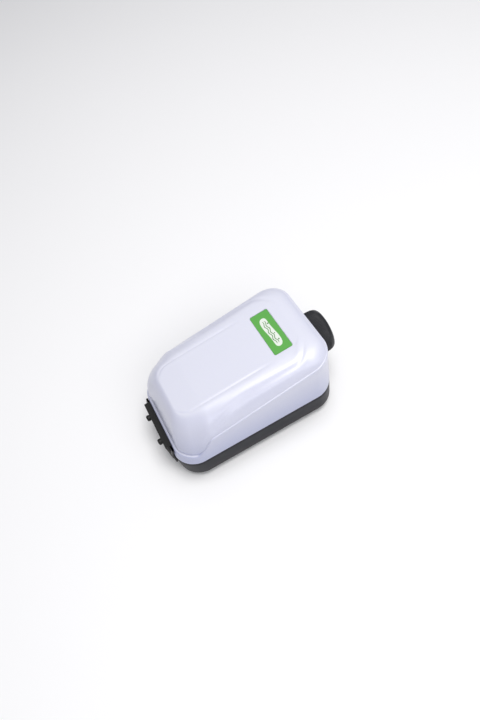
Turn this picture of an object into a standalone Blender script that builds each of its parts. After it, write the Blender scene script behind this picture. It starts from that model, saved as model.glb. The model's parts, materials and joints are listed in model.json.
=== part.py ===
"""Two-outlet diaphragm air pump for an aquarium, built as an assembly of separate pieces.

Frame: metres, +Z up, origin on the floor under the middle of the overall box. +X points to the flow
dial, -X to the air outlets. Places below are measured from the middle of the body, and everything is
slid onto the origin at the end. "near" pieces lie on the -Y side and "far" pieces on the +Y side.
"""

import math

import bmesh
import bpy
from mathutils import Matrix, Vector

MM = 0.001
GAP = 0.3 * MM  # left between pieces that touch

# Body
HALF_LENGTH = 65 * MM
HALF_WIDTH = 41.2 * MM
CORNER = 18 * MM
WALL = 2.0 * MM
UNDERSIDE = 5 * MM
FLOOR_TOP = 7.2 * MM
SEAM = 24.5 * MM
TOP = 67.5 * MM  # roof height at the middle of the body
ROOF_SLOPE = 0.07  # the roof climbs towards the dial end
TRAY_WALL = 2.4 * MM
REBATE = 1.2 * MM
REBATE_LOW = SEAM - 1.5 * MM

# Cover: a ledge lies low round the outlet end, steps up and climbs along the sides to the dial end,
# and the dome stands on it
LEDGE_LOW = 33.5 * MM
LEDGE_STEP_X = (-53 * MM, -35 * MM)
LEDGE_MIDDLE = 55 * MM  # its height halfway along the side
LEDGE_CLIMB = 0.165
LEDGE_INSET = 1.3 * MM
LEDGE_HEIGHT = 0.8 * MM
DRAFT = 0.02  # how much the wall leans in with height
END_DRAFT = 0.25  # added round the outlet end, up to the ledge
END_DRAFT_X = (-62 * MM, -40 * MM)
ROOF_X = (-44.2 * MM, 50 * MM)
ROOF_HALF_WIDTH = 20.5 * MM
ROOF_CORNER = 11 * MM
DOME_FULLNESS = 2.1  # 2 is a round section, and more is squarer
DOME_SWELL = 0.5  # added towards the dial end
DOME_LEVELS = 6
CORNER_STEPS = 6
SIDE_STEPS = 6

LABEL_X = (29 * MM, 43 * MM)
LABEL_HALF_WIDTH = 18.3 * MM
LABEL_GAP = 0.4 * MM

# Fixings between tray and cover
SCREW_X = 54.5 * MM
SCREW_Y = 29.5 * MM
FOOT_X = 36 * MM
FOOT_Y = 22 * MM

# Air outlets
OUTLET_Y = 11.2 * MM
OUTLET_Z = 28 * MM
NOZZLE_INNER_X = -54 * MM
NOZZLE_LENGTH = 17 * MM
PLATE_FACE_X = -67.8 * MM
PLATE_HALF_WIDTH = 20.75 * MM
FLANGE_HALF_WIDTH = 25.2 * MM
PLATE_Z = (12 * MM, 33.0 * MM)

# Mains lead inlet
GLAND_Y = 16 * MM
GLAND_Z = 13.5 * MM

# Flow dial
DIAL_Z = 38.5 * MM
DIAL_BACK_X = 65.3 * MM
KNOB_DEPTH = 13.4 * MM

# Drive: one laminated core, a coil on each side of it, and a swing arm outside each coil
CHASSIS_Z = (14.3 * MM, 16.3 * MM)
DRIVE_Z = 34 * MM
CORE_HALF_STACK = 8 * MM
CORE_HALF_WIDTH = 13 * MM
POLE_Y = 15 * MM
PIVOT_X = 42 * MM
PIVOT_Y = 22.2 * MM
HEAD_X = 24 * MM
HEAD_HALF = 11.5 * MM
LEVER_Y = (20.9 * MM, 23.4 * MM)
DAMPERS = ((-16 * MM, 29.5 * MM), (44 * MM, 30.2 * MM))
NIPPLE_Y = 34.2 * MM
NIPPLE_Z = 40 * MM
PORT_SHIFT = 4.5 * MM  # valve ports above and below the drive's mid height

SIDES = (("near", -1), ("far", 1))
ROUND = 12  # sides of small round pieces
FINE = 16  # sides of the round pieces that show outside
DIAL_SIDES = 36


def clear_scene():
    for item in list(bpy.data.objects):
        bpy.data.objects.remove(item, do_unlink=True)


# ---------------------------------------------------------------- shapes: (points, faces) in metres


def ring_shape(rings, closed=False):
    """Skin over rings of equal length: a closed loop of rings is hollow, an open one is capped."""
    count = len(rings[0])
    points = [point for ring in rings for point in ring]
    faces = []
    spans = len(rings) if closed else len(rings) - 1
    for level in range(spans):
        low = level * count
        high = ((level + 1) % len(rings)) * count
        for i in range(count):
            j = (i + 1) % count
            faces.append((low + i, low + j, high + j, high + i))
    if not closed:
        faces.append(tuple(reversed(range(count))))
        last = (len(rings) - 1) * count
        faces.append(tuple(range(last, last + count)))
    return points, faces


def circle(radius, height, segments):
    step = 2 * math.pi / segments
    return [(radius * math.cos(i * step), radius * math.sin(i * step), height) for i in range(segments)]


def lathe(profile, segments=ROUND, closed=False):
    """A turned shape about Z from (radius, height) pairs in millimetres."""
    return ring_shape([circle(r * MM, h * MM, segments) for r, h in profile], closed)


def block(x, y, z):
    """A box from (low, high) pairs in metres."""
    corners = [(x[0], y[0]), (x[1], y[0]), (x[1], y[1]), (x[0], y[1])]
    return ring_shape([[(a, b, height) for a, b in corners] for height in z])


def prism(outline, z):
    return ring_shape([[(a, b, height) for a, b in outline] for height in z])


def rounded_outline(x, y, corner, corner_steps=CORNER_STEPS, side_steps=SIDE_STEPS):
    """A rectangle from (low, high) pairs with round corners, points counter-clockwise."""
    centres = (
        (x[1] - corner, y[0] + corner, -90),
        (x[1] - corner, y[1] - corner, 0),
        (x[0] + corner, y[1] - corner, 90),
        (x[0] + corner, y[0] + corner, 180),
    )
    arcs = []
    for cx, cy, start in centres:
        angles = [math.radians(start + 90 * i / corner_steps) for i in range(corner_steps + 1)]
        arcs.append([(cx + corner * math.cos(a), cy + corner * math.sin(a)) for a in angles])
    outline = []
    for index, arc in enumerate(arcs):
        outline += arc
        start, end = Vector(arc[-1]), Vector(arcs[(index + 1) % 4][0])
        outline += [tuple(start.lerp(end, i / side_steps)) for i in range(1, side_steps)]
    return outline


def body_outline(inset, side_steps=SIDE_STEPS):
    x = (inset - HALF_LENGTH, HALF_LENGTH - inset)
    y = (inset - HALF_WIDTH, HALF_WIDTH - inset)
    return rounded_outline(x, y, CORNER - inset, side_steps=side_steps)


def moved(shape, offset):
    points, faces = shape
    return [tuple(Vector(p) + Vector(offset)) for p in points], faces


def along_x(shape, origin, direction=1):
    """Turns a shape built along +Z so that it runs along +X or -X from origin."""
    turn = Matrix.Rotation(math.radians(90 * direction), 3, "Y")
    return moved(([tuple(turn @ Vector(p)) for p in shape[0]], shape[1]), origin)


def along_y(shape, origin, direction=1):
    """Turns a shape built along +Z so that it runs along +Y or -Y from origin."""
    turn = Matrix.Rotation(math.radians(-90 * direction), 3, "X")
    return moved(([tuple(turn @ Vector(p)) for p in shape[0]], shape[1]), origin)


def across(side, low, high):
    """A Y range measured outwards from the middle plane, on one side."""
    return tuple(sorted((side * low, side * high)))


def joined(*shapes):
    points, faces = [], []
    for shape in shapes:
        start = len(points)
        points += shape[0]
        faces += [tuple(start + i for i in face) for face in shape[1]]
    return points, faces


# ---------------------------------------------------------------- objects


def material(name, colour, roughness, metallic=0.0):
    made = bpy.data.materials.new(name)
    made.use_nodes = True
    shader = made.node_tree.nodes["Principled BSDF"]
    shader.inputs["Base Color"].default_value = (*colour, 1.0)
    shader.inputs["Roughness"].default_value = roughness
    shader.inputs["Metallic"].default_value = metallic
    return made


def piece(name, shape, finish, origin=(0, 0, 0), parent=None, smooth=False):
    """An object whose own origin is at origin, with its shape given in the assembly's frame."""
    mesh = bpy.data.meshes.new(name)
    origin = Vector(origin)
    mesh.from_pydata([Vector(p) - origin for p in shape[0]], [], shape[1])
    form = bmesh.new()
    form.from_mesh(mesh)
    bmesh.ops.recalc_face_normals(form, faces=form.faces)
    form.to_mesh(mesh)
    form.free()
    if smooth:
        mesh.shade_smooth()
        mesh.set_sharp_from_angle(angle=math.radians(40))
    made = bpy.data.objects.new(name, mesh)
    bpy.context.scene.collection.objects.link(made)
    if finish:
        mesh.materials.append(finish)
    if parent:
        made.parent = parent
        made.location = origin - parent.location
    else:
        made.location = origin
    return made


def pivot(name, position):
    made = bpy.data.objects.new(name, None)
    made.location = position
    made.empty_display_size = 0.01
    bpy.context.scene.collection.objects.link(made)
    return made


def boolean(target, tool_shape, operation, hollow_out=None):
    """Cuts tool_shape from target or joins it on; hollow_out is first taken out of the tool."""
    tool = piece(f"{target.name}_tool_{len(target.modifiers)}", tool_shape, None)
    tool.hide_render = True
    tool.display_type = "WIRE"
    if hollow_out:
        boolean(tool, hollow_out, "DIFFERENCE")
    step = target.modifiers.new(operation.lower(), "BOOLEAN")
    step.operation = operation
    step.object = tool


def cut(target, *shapes):
    boolean(target, joined(*shapes), "DIFFERENCE")


def add(target, *shapes):
    boolean(target, joined(*shapes), "UNION")


def hole_z(x, y, radius, z):
    return moved(ring_shape([circle(radius, height, ROUND) for height in z]), (x, y, 0))


def hole_x(y, z, radius, x):
    tool = ring_shape([circle(radius, 0, ROUND), circle(radius, x[1] - x[0], ROUND)])
    return along_x(tool, (x[0], y, z))


def hole_y(x, z, radius, y):
    tool = ring_shape([circle(radius, 0, ROUND), circle(radius, y[1] - y[0], ROUND)])
    return along_y(tool, (x, y[0], z))


def corners(x, y):
    return [(sx * x, sy * y) for sx in (-1, 1) for sy in (-1, 1)]


# ---------------------------------------------------------------- casing


def base_tray(finish):
    edge = ((2.2, 0.0), (0.7, 0.5), (0.0, 1.8))  # round under edge: inset and height in mm
    rings = [
        [(x, y, UNDERSIDE + rise * MM) for x, y in body_outline(inset * MM, 2)] for inset, rise in edge
    ]
    rings.append([(x, y, SEAM) for x, y in body_outline(0, 2)])
    tray = piece("base_tray", ring_shape(rings), finish)
    hollow = [
        [(x, y, FLOOR_TOP) for x, y in body_outline(TRAY_WALL, 2)],
        [(x, y, REBATE_LOW) for x, y in body_outline(TRAY_WALL, 2)],
        [(x, y, REBATE_LOW) for x, y in body_outline(REBATE, 2)],
        [(x, y, SEAM + WALL) for x, y in body_outline(REBATE, 2)],
    ]
    cut(tray, ring_shape(hollow))
    sunk = FLOOR_TOP - 1 * MM
    bosses = [hole_z(x, y, 4 * MM, (sunk, 22.5 * MM)) for x, y in corners(SCREW_X, SCREW_Y)]
    posts = [
        moved(lathe(((3.5, 0), (3.5, 3.3), (1.5, 3.3), (1.5, 5.8))), (x, side * y, sunk))
        for x, y in DAMPERS
        for side in (-1, 1)
    ]
    filter_box = block((-20 * MM, 20 * MM), (-14 * MM, 14 * MM), (sunk, 12.5 * MM))
    add(tray, *bosses, *posts, filter_box)
    screw_ways = [hole_z(x, y, 1.8 * MM, (0, SEAM)) for x, y in corners(SCREW_X, SCREW_Y)]
    foot_ways = [hole_z(x, y, 2.6 * MM, (0, SEAM)) for x, y in corners(FOOT_X, FOOT_Y)]
    air_way = hole_z(-12 * MM, 0, 3 * MM, (10 * MM, 14 * MM))
    gland_way = hole_x(GLAND_Y, GLAND_Z, 4.4 * MM, (60 * MM, 67 * MM))
    cut(tray, *screw_ways, *foot_ways, gland_way, air_way)
    sinks = [hole_z(x, y, 3.4 * MM, (0, 8 * MM)) for x, y in corners(SCREW_X, SCREW_Y)]
    filter_well = block((-17 * MM, 17 * MM), (-11 * MM, 11 * MM), (0, 11 * MM))
    cut(tray, *sinks, filter_well)


def smooth_step(value, low, high):
    t = min(max((value - low) / (high - low), 0.0), 1.0)
    return t * t * (3 - 2 * t)


def ledge_height(x):
    side = LEDGE_MIDDLE + LEDGE_CLIMB * x
    return LEDGE_LOW + (side - LEDGE_LOW) * smooth_step(x, *LEDGE_STEP_X)


def roof_height(x):
    return TOP + ROOF_SLOPE * x


def wall_draft(x):
    return DRAFT + END_DRAFT * (1 - smooth_step(x, *END_DRAFT_X))


def cover_rings(low, inset):
    """Rings of the cover's outside (inset 0) or of its hollow (inset one wall)."""
    wall = body_outline(inset)
    leaned = body_outline(inset + 1 * MM)
    roof_x = (ROOF_X[0] + inset, ROOF_X[1] - inset)
    roof_y = (inset - ROOF_HALF_WIDTH, ROOF_HALF_WIDTH - inset)
    roof = rounded_outline(roof_x, roof_y, ROOF_CORNER)
    rings = [[(x, y, low) for x, y in wall], []]
    shelf = []
    for outer, inner in zip(wall, leaned):
        rise = ledge_height(outer[0])
        lean = wall_draft(outer[0]) * (rise - SEAM) / MM
        crest = Vector(outer).lerp(Vector(inner), lean)
        rings[1].append((crest.x, crest.y, rise - inset / 2))
        edge = Vector(outer).lerp(Vector(inner), lean + LEDGE_INSET / MM)
        shelf.append((edge.x, edge.y, rise + LEDGE_HEIGHT - inset / 2))
    for level in range(DOME_LEVELS + 1):
        angle = math.radians(90 * level / DOME_LEVELS)
        ring = []
        for (x, y, foot), (roof_px, roof_py) in zip(shelf, roof):
            power = 2 / (DOME_FULLNESS + DOME_SWELL * x / HALF_LENGTH)
            inward = 1 - max(math.cos(angle), 0.0) ** power
            spot = Vector((x, y)).lerp(Vector((roof_px, roof_py)), inward)
            top = roof_height(roof_px) - inset
            ring.append((spot.x, spot.y, foot + (top - foot) * math.sin(angle) ** power))
        rings.append(ring)
    return rings


def label_outline(grow, corner_steps):
    x = (LABEL_X[0] - grow, LABEL_X[1] + grow)
    y = (-LABEL_HALF_WIDTH - grow, LABEL_HALF_WIDTH + grow)
    return rounded_outline(x, y, 1 * MM, corner_steps, 1)


def on_roof(outline, depths):
    """A slab that follows the roof's slope, between two distances from its surface."""
    return ring_shape([[(x, y, roof_height(x) + depth) for x, y in outline] for depth in depths])


def top_cover(finish):
    low = SEAM + GAP
    cover = piece("top_cover", ring_shape(cover_rings(low, 0)), finish, smooth=True)
    bosses = [hole_z(x, y, 3.2 * MM, (low + 0.6 * MM, TOP + 5 * MM)) for x, y in corners(SCREW_X, SCREW_Y)]
    hollow = ring_shape(cover_rings(low - WALL, WALL))
    boolean(cover, hollow, "DIFFERENCE", hollow_out=joined(*bosses))
    pilots = [hole_z(x, y, 1.8 * MM, (low - WALL, 36 * MM)) for x, y in corners(SCREW_X, SCREW_Y)]
    outlets = [
        hole_x(side * OUTLET_Y, OUTLET_Z, 2.7 * MM, (-67 * MM, -59 * MM)) for _, side in SIDES
    ]
    shaft_way = hole_x(0, DIAL_Z, 4.3 * MM, (61 * MM, 67 * MM))
    cut(cover, *pilots, *outlets, shaft_way, on_roof(label_outline(LABEL_GAP, 1), (-0.8 * MM, WALL)))


def label_plate(finish):
    piece("label_plate", on_roof(label_outline(0, 3), (-0.5 * MM, -0.1 * MM)), finish)


def seam_gasket(finish):
    rings = []
    corners_of_section = ((1.5, -1.2), (2.4, -1.2), (2.4, 0), (1.5, 0))
    for inset, height in corners_of_section:
        rings.append([(x, y, SEAM + height * MM) for x, y in body_outline(inset * MM, 1)])
    piece("seam_gasket", ring_shape(rings, closed=True), finish)


def feet(finish):
    section = (
        (2.0, 9.0), (3.2, 8.6), (3.2, 7.5), (2.2, 7.4), (2.2, 4.7), (4.6, 4.7),
        (6.2, 2.2), (9.0, 0.7), (9.0, 0.0), (7.4, 0.0), (5.0, 1.8), (1.5, 2.6),
    )
    for number, (x, y) in enumerate(corners(FOOT_X, FOOT_Y), 1):
        shape = moved(lathe(section, FINE), (x, y, 0))
        piece(f"foot_{number}", shape, finish, origin=(x, y, 0), smooth=True)


def case_screws(finish):
    head = ((1.2, 6.0), (1.6, 5.3), (2.6, 5.3), (3.0, 5.9), (3.0, 7.6))
    section = (*head, (1.5, 7.6), (1.5, 33), (0.6, 34.5))
    for number, (x, y) in enumerate(corners(SCREW_X, SCREW_Y), 1):
        shape = moved(lathe(section), (x, y, 0))
        piece(f"case_screw_{number}", shape, finish, origin=(x, y, 5.3 * MM), smooth=True)


def intake_filter(cover_finish, felt_finish):
    outline = rounded_outline((-16.6 * MM, 16.6 * MM), (-10.6 * MM, 10.6 * MM), 1 * MM, 2, 1)
    grille = piece("filter_cover", prism(outline, (5.2 * MM, 7.0 * MM)), cover_finish)
    slot_y, slot_z = (-7.5 * MM, 7.5 * MM), (4 * MM, 8 * MM)
    slots = [block((x * MM, (x + 1.8) * MM), slot_y, slot_z) for x in range(-13, 13, 4)]
    cut(grille, *slots)
    piece("filter_felt", prism(outline, (7.3 * MM, 10.7 * MM)), felt_finish)


def silencer_box(finish):
    x = (-58 * MM, -26 * MM)
    y = (-17 * MM, 17 * MM)
    z = (FLOOR_TOP + GAP, 20.5 * MM)
    wall = 1.6 * MM
    box = piece("silencer_box", block(x, y, z), finish)
    for index, low_x in enumerate((-56.4, -46.2, -36.0)):
        shift = wall if index % 2 else -wall
        room = (y[0] + wall + max(shift, 0), y[1] - wall + min(shift, 0))
        cut(box, block((low_x * MM, (low_x + 8.6) * MM), room, (z[0] + wall, z[1] + wall)))
    air_ways = block((-58 * MM + wall, -27.6 * MM), (-2 * MM, 2 * MM), (15 * MM, 22 * MM))
    cut(box, air_ways, hole_x(0, 12 * MM, 3 * MM, (-30 * MM, -24 * MM)))


# ---------------------------------------------------------------- outlets and mains inlet


def end_slab(front, back, half_width, z):
    """A slab across the outlet end that leans in with the cover's wall above the seam."""
    shift = wall_draft(-HALF_LENGTH) * (z[1] - SEAM)
    profile = [(back, z[0]), (back, SEAM), (back + shift, z[1]), (front + shift, z[1])]
    profile += [(front, SEAM), (front, z[0])]
    return ring_shape([[(x, y, height) for x, height in profile] for y in (-half_width, half_width)])


def outlet_plate(finish):
    back = -HALF_LENGTH - GAP
    flange_z = (PLATE_Z[0] + 1 * MM, PLATE_Z[1] - 1 * MM)
    flange = end_slab(back - 1.4 * MM, back, FLANGE_HALF_WIDTH, flange_z)
    plate = piece("outlet_plate", flange, finish)
    add(plate, block((PLATE_FACE_X, back - 0.6 * MM), (-PLATE_HALF_WIDTH, PLATE_HALF_WIDTH), PLATE_Z))
    add(plate, end_slab(back - 1 * MM, back, PLATE_HALF_WIDTH, (SEAM - 1 * MM, PLATE_Z[1])))
    ways = [hole_x(side * OUTLET_Y, OUTLET_Z, 3.4 * MM, (-72 * MM, -60 * MM)) for _, side in SIDES]
    cut(plate, *ways)


def outlet_nozzles(finish):
    section = (
        (1.1, 0), (1.7, 0), (1.7, 5.0), (3.3, 5.0), (3.3, 6.2), (2.3, 6.2), (2.3, 14.6), (2.45, 16.0),
        (2.2, NOZZLE_LENGTH / MM), (1.5, NOZZLE_LENGTH / MM), (1.5, 12), (1.1, 12),
    )
    for name, side in SIDES:
        origin = (NOZZLE_INNER_X, side * OUTLET_Y, OUTLET_Z)
        shape = along_x(lathe(section, FINE, closed=True), origin, -1)
        piece(f"outlet_nozzle_{name}", shape, finish, origin=origin, smooth=True)


def cord_gland(finish):
    section = (
        (3.1, 0), (5.6, 0), (5.6, 1.3), (4.1, 1.3), (4.1, 4.3), (5.6, 4.3), (5.6, 5.8), (4.8, 6.4),
        (4.3, 10), (3.1, 10),
    )
    origin = (61 * MM, GLAND_Y, GLAND_Z)
    piece("cord_gland", along_x(lathe(section, FINE, closed=True), origin), finish, origin, smooth=True)


# ---------------------------------------------------------------- flow dial and its control


def flow_dial(knob_finish, shaft_finish):
    axis = pivot("dial_axis", (DIAL_BACK_X, 0, DIAL_Z))
    section = (
        (3.15, 8.6), (3.15, 4.2), (8.0, 4.2), (8.0, 0), (16.7, 0), (17.3, 0.8), (16.8, 9.8),
        (16.1, 12.0), (14.6, KNOB_DEPTH / MM),
    )
    knob = along_x(lathe(section, DIAL_SIDES), axis.location)
    piece("flow_knob", knob, knob_finish, axis.location, axis, smooth=True)
    shaft_origin = (56.2 * MM, 0, DIAL_Z)
    section = ((6.4, 0), (6.4, 1.1), (2.85, 1.1), (2.85, 17.2))
    shaft = along_x(lathe(section, ROUND), shaft_origin)
    piece("control_shaft", shaft, shaft_finish, shaft_origin, axis, smooth=True)


def dial_control(case_finish, nut_finish, board_finish):
    origin = (54.7 * MM, 0, DIAL_Z)
    outside = ((8.2, 0), (8.2, 7.2), (3.9, 7.2), (3.9, 13.4))
    section = (*outside, (3.15, 13.4), (3.15, 5.9), (7.2, 5.9), (7.2, 0))
    case = along_x(lathe(section, FINE, closed=True), origin)
    piece("control_case", case, case_finish, origin, smooth=True)
    nut_origin = (DIAL_BACK_X, 0, DIAL_Z)
    nut = ring_shape([circle(r * MM, h * MM, 6) for r, h in ((5.2, 0), (7.2, 0), (7.2, 2), (5.2, 2))], True)
    piece("control_nut", along_x(nut, nut_origin), nut_finish, nut_origin)
    sheet = block((52.8 * MM, 54.4 * MM), (-15 * MM, 15 * MM), (24.5 * MM, 52.5 * MM))
    board = piece("control_board", sheet, board_finish)
    capacitor = hole_x(8 * MM, 45 * MM, 4 * MM, (44 * MM, 53.2 * MM))
    switch_chip = block((49.5 * MM, 53.2 * MM), (-12 * MM, -4 * MM), (40 * MM, 50 * MM))
    terminals = block((47 * MM, 53.2 * MM), (-10 * MM, 10 * MM), (26 * MM, 32 * MM))
    add(board, capacitor, switch_chip, terminals)


# ---------------------------------------------------------------- drive


def chassis_plate(finish):
    outline = rounded_outline((-22 * MM, 49.5 * MM), (-34 * MM, 34 * MM), 4 * MM, 3, 1)
    plate = piece("chassis_plate", prism(outline, CHASSIS_Z), finish)
    sunk = CHASSIS_Z[0] + 1 * MM
    cradle = block((-12.5 * MM, 12.5 * MM), (-2.6 * MM, 2.6 * MM), (sunk, DRIVE_Z - CORE_HALF_STACK - GAP))
    bosses = [hole_z(PIVOT_X, side * PIVOT_Y, 4.5 * MM, (sunk, 26 * MM)) for _, side in SIDES]
    head_top = DRIVE_Z - HEAD_HALF - GAP
    rests = [
        block((14 * MM, 34 * MM), across(side, 28.8 * MM, 31 * MM), (sunk, head_top)) for _, side in SIDES
    ]
    add(plate, cradle, *bosses, *rests)
    ways = [hole_z(x, side * y, 2.6 * MM, (12 * MM, 18 * MM)) for x, y in DAMPERS for _, side in SIDES]
    pin_ways = [hole_z(PIVOT_X, side * PIVOT_Y, 2.3 * MM, (16.3 * MM, 30 * MM)) for _, side in SIDES]
    cut(plate, *ways, *pin_ways)


def dampers(finish):
    section = (
        (3.0, 18.2), (3.2, 16.6), (2.2, 16.6), (2.2, 14.0), (4.2, 14.0), (3.6, 11.8), (4.2, 9.8),
        (1.8, 9.8), (1.8, 12.4),
    )
    spots = [(x, side * y) for x, y in DAMPERS for _, side in SIDES]
    for number, (x, y) in enumerate(spots, 1):
        shape = moved(lathe(section), (x, y, 0))
        piece(f"damper_{number}", shape, finish, origin=(x, y, 9.8 * MM), smooth=True)


def laminated_core(finish):
    z = (DRIVE_Z - CORE_HALF_STACK, DRIVE_Z + CORE_HALF_STACK)
    core = piece("laminated_core", block((-CORE_HALF_WIDTH, CORE_HALF_WIDTH), (-POLE_Y, POLE_Y), z), finish)
    windows = [
        block(across(end, 4 * MM, 9.6 * MM), across(side, 3 * MM, 16 * MM), (20 * MM, 50 * MM))
        for end in (-1, 1)
        for _, side in SIDES
    ]
    cut(core, *windows)


def rectangle(half_x, half_z, height):
    corners_xz = ((-half_x, -half_z), (half_x, -half_z), (half_x, half_z), (-half_x, half_z))
    return [(x, z, height) for x, z in corners_xz]


def bobbins_and_coils(bobbin_finish, coil_finish):
    """Section points are (reach outside the limb, distance along it) in millimetres."""
    spool = (
        (0.3, 3.4), (5.0, 3.4), (5.0, 4.2), (1.1, 4.2), (1.1, 13.8), (5.0, 13.8), (5.0, 14.6), (0.3, 14.6),
    )
    wire = ((1.4, 4.5), (4.8, 4.5), (4.8, 13.5), (1.4, 13.5))
    for label, section, finish in (("bobbin", spool, bobbin_finish), ("coil", wire, coil_finish)):
        for name, side in SIDES:
            rings = [
                rectangle(4 * MM + reach * MM, CORE_HALF_STACK + reach * MM, height * MM)
                for reach, height in section
            ]
            shape = along_y(ring_shape(rings, closed=True), (0, 0, DRIVE_Z), side)
            piece(f"{label}_{name}", shape, finish)


def core_clamp(finish):
    """A steel strap over the core, bent down to the chassis on both sides."""
    low, high = CHASSIS_Z[1] + GAP, DRIVE_Z + CORE_HALF_STACK + GAP
    thick = 1.6 * MM
    inner = CORE_HALF_WIDTH + GAP
    outer = inner + thick
    foot = outer + 6 * MM
    right = [(foot, low), (foot, low + thick), (outer, low + thick), (outer, high + thick)]
    left = [(-x, z) for x, z in reversed(right)]
    under = [(-foot, low), (-inner, low), (-inner, high), (inner, high), (inner, low)]
    profile = right + left[:-1] + under
    rings = [[(x, y, z) for x, z in profile] for y in (-2.6 * MM, 2.6 * MM)]
    piece("core_clamp", ring_shape(rings), finish)


def swing_arm(name, side, axis, arm_finish, magnet_finish, button_finish):
    z = (DRIVE_Z - 5 * MM, DRIVE_Z + 5 * MM)
    lever = block((-10 * MM, PIVOT_X), across(side, *LEVER_Y), z)
    arm = piece(f"swing_arm_{name}", lever, arm_finish, axis.location, axis)
    hub = hole_z(PIVOT_X, side * PIVOT_Y, 5 * MM, (28 * MM, 40 * MM))
    seat_y = side * (LEVER_Y[1] - 1.5 * MM)
    seat = along_y(lathe(((4, 0), (4, 3.7)), ROUND), (HEAD_X, seat_y, DRIVE_Z), side)
    holder = block((-12.8 * MM, 12.8 * MM), across(side, 18.6 * MM, 23.3 * MM), (26.4 * MM, 41.6 * MM))
    add(arm, hub, seat, holder)
    bore = hole_z(PIVOT_X, side * PIVOT_Y, 2.3 * MM, (20 * MM, 50 * MM))
    pocket = block((-11.3 * MM, 11.3 * MM), across(side, 15 * MM, 20.6 * MM), (27.7 * MM, 40.3 * MM))
    screw_way = hole_y(HEAD_X, DRIVE_Z, 1.7 * MM, across(side, 18 * MM, 27 * MM))
    cut(arm, bore, pocket, screw_way)
    magnet = block((-11 * MM, 11 * MM), across(side, 16.6 * MM, 20.3 * MM), (28 * MM, 40 * MM))
    piece(f"magnet_{name}", magnet, magnet_finish, axis.location, axis)
    stud = lathe(((1.4, 0), (1.4, 6.5), (4, 6.5), (4, 7.7)))
    button = along_y(stud, (HEAD_X, side * 20.6 * MM, DRIVE_Z), side)
    piece(f"diaphragm_button_{name}", button, button_finish, axis.location, axis, smooth=True)


def pivot_pins(finish):
    section = ((2.0, 16.6), (2.0, 40.5), (3.4, 40.5), (3.4, 41.8))
    for name, side in SIDES:
        shape = moved(lathe(section), (PIVOT_X, side * PIVOT_Y, 0))
        piece(f"pivot_pin_{name}", shape, finish, (PIVOT_X, side * PIVOT_Y, DRIVE_Z), smooth=True)


# ---------------------------------------------------------------- pump heads


def head_square(side, low, high):
    """A square block of the head stack between two distances from the middle plane, in mm."""
    x = (HEAD_X - HEAD_HALF, HEAD_X + HEAD_HALF)
    z = (DRIVE_Z - HEAD_HALF, DRIVE_Z + HEAD_HALF)
    return block(x, across(side, low * MM, high * MM), z)


def pump_head(name, side, plastic, rubber):
    reach = across(side, 15 * MM, 40 * MM)
    retainer = piece(f"diaphragm_retainer_{name}", head_square(side, 24.6, 25.6), plastic)
    cut(retainer, hole_y(HEAD_X, DRIVE_Z, 8.9 * MM, reach))
    section = (
        (1.7, 0), (5.0, 0), (6.0, 0.9), (7.2, 0.9), (8.2, 0), (10.6, 0), (10.6, 2.4), (9.0, 2.4),
        (9.0, 0.9), (8.4, 0.9), (7.5, 1.8), (5.7, 1.8), (4.7, 0.9), (1.7, 0.9),
    )
    rubber_disc = along_y(lathe(section, FINE, closed=True), (HEAD_X, side * 25.9 * MM, DRIVE_Z), side)
    piece(f"diaphragm_{name}", rubber_disc, rubber, (HEAD_X, side * 25.9 * MM, DRIVE_Z), smooth=True)
    chamber = piece(f"pump_chamber_{name}", head_square(side, 28.6, 31.0), plastic)
    cut(chamber, hole_y(HEAD_X, DRIVE_Z, 8.8 * MM, reach))
    plate = piece(f"valve_plate_{name}", head_square(side, 31.3, 32.5), plastic)
    ports = [hole_y(HEAD_X, DRIVE_Z + shift, 1.6 * MM, reach) for shift in (-PORT_SHIFT, PORT_SHIFT)]
    cut(plate, *ports)
    cover = piece(f"head_cover_{name}", head_square(side, 32.8, 36.0), plastic)
    nipple = hole_x(side * NIPPLE_Y, NIPPLE_Z, 1.7 * MM, (3.5 * MM, 13 * MM))
    add(cover, nipple)
    rooms = [
        block((14 * MM, 34 * MM), across(side, 32 * MM, 35.1 * MM), z)
        for z in ((24 * MM, 33 * MM), (35 * MM, 44 * MM))
    ]
    cut(cover, *rooms)
    bore = hole_x(side * NIPPLE_Y, NIPPLE_Z, 1.0 * MM, (2 * MM, 15 * MM))
    intake = hole_z(HEAD_X, side * NIPPLE_Y, 1.2 * MM, (20 * MM, 25 * MM))
    cut(cover, bore, intake)


def flap_valves(name, side, rubber):
    """Two reed flaps a head; each hinges at the edge that its pivot stands on."""
    x = (HEAD_X - 3.4 * MM, HEAD_X + 3.4 * MM)
    low, high = DRIVE_Z - 7.6 * MM, DRIVE_Z + 7.6 * MM
    inlet_axis = pivot(f"inlet_hinge_{name}", (HEAD_X, side * 31 * MM, low))
    flap = block(x, across(side, 30.4 * MM, 31 * MM), (low, DRIVE_Z - 0.8 * MM))
    piece(f"inlet_flap_{name}", flap, rubber, inlet_axis.location, inlet_axis)
    outlet_axis = pivot(f"outlet_hinge_{name}", (HEAD_X, side * 32.8 * MM, high))
    flap = block(x, across(side, 32.8 * MM, 33.4 * MM), (DRIVE_Z + 1.3 * MM, high))
    piece(f"outlet_flap_{name}", flap, rubber, outlet_axis.location, outlet_axis)


def smooth_route(knots, steps):
    """Points of a Catmull-Rom curve through the knots."""
    knots = [Vector(k) * MM for k in knots]
    ends = [2 * knots[0] - knots[1]] + knots + [2 * knots[-1] - knots[-2]]
    route = []
    for i in range(len(knots) - 1):
        a, b, c, d = ends[i : i + 4]
        for t in (k / steps for k in range(steps)):
            bend = 2 * a - 5 * b + 4 * c - d
            twist = 3 * b - 3 * c + d - a
            route.append(0.5 * (2 * b + (c - a) * t + bend * t * t + twist * t**3))
    return route + [knots[-1]]


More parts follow.
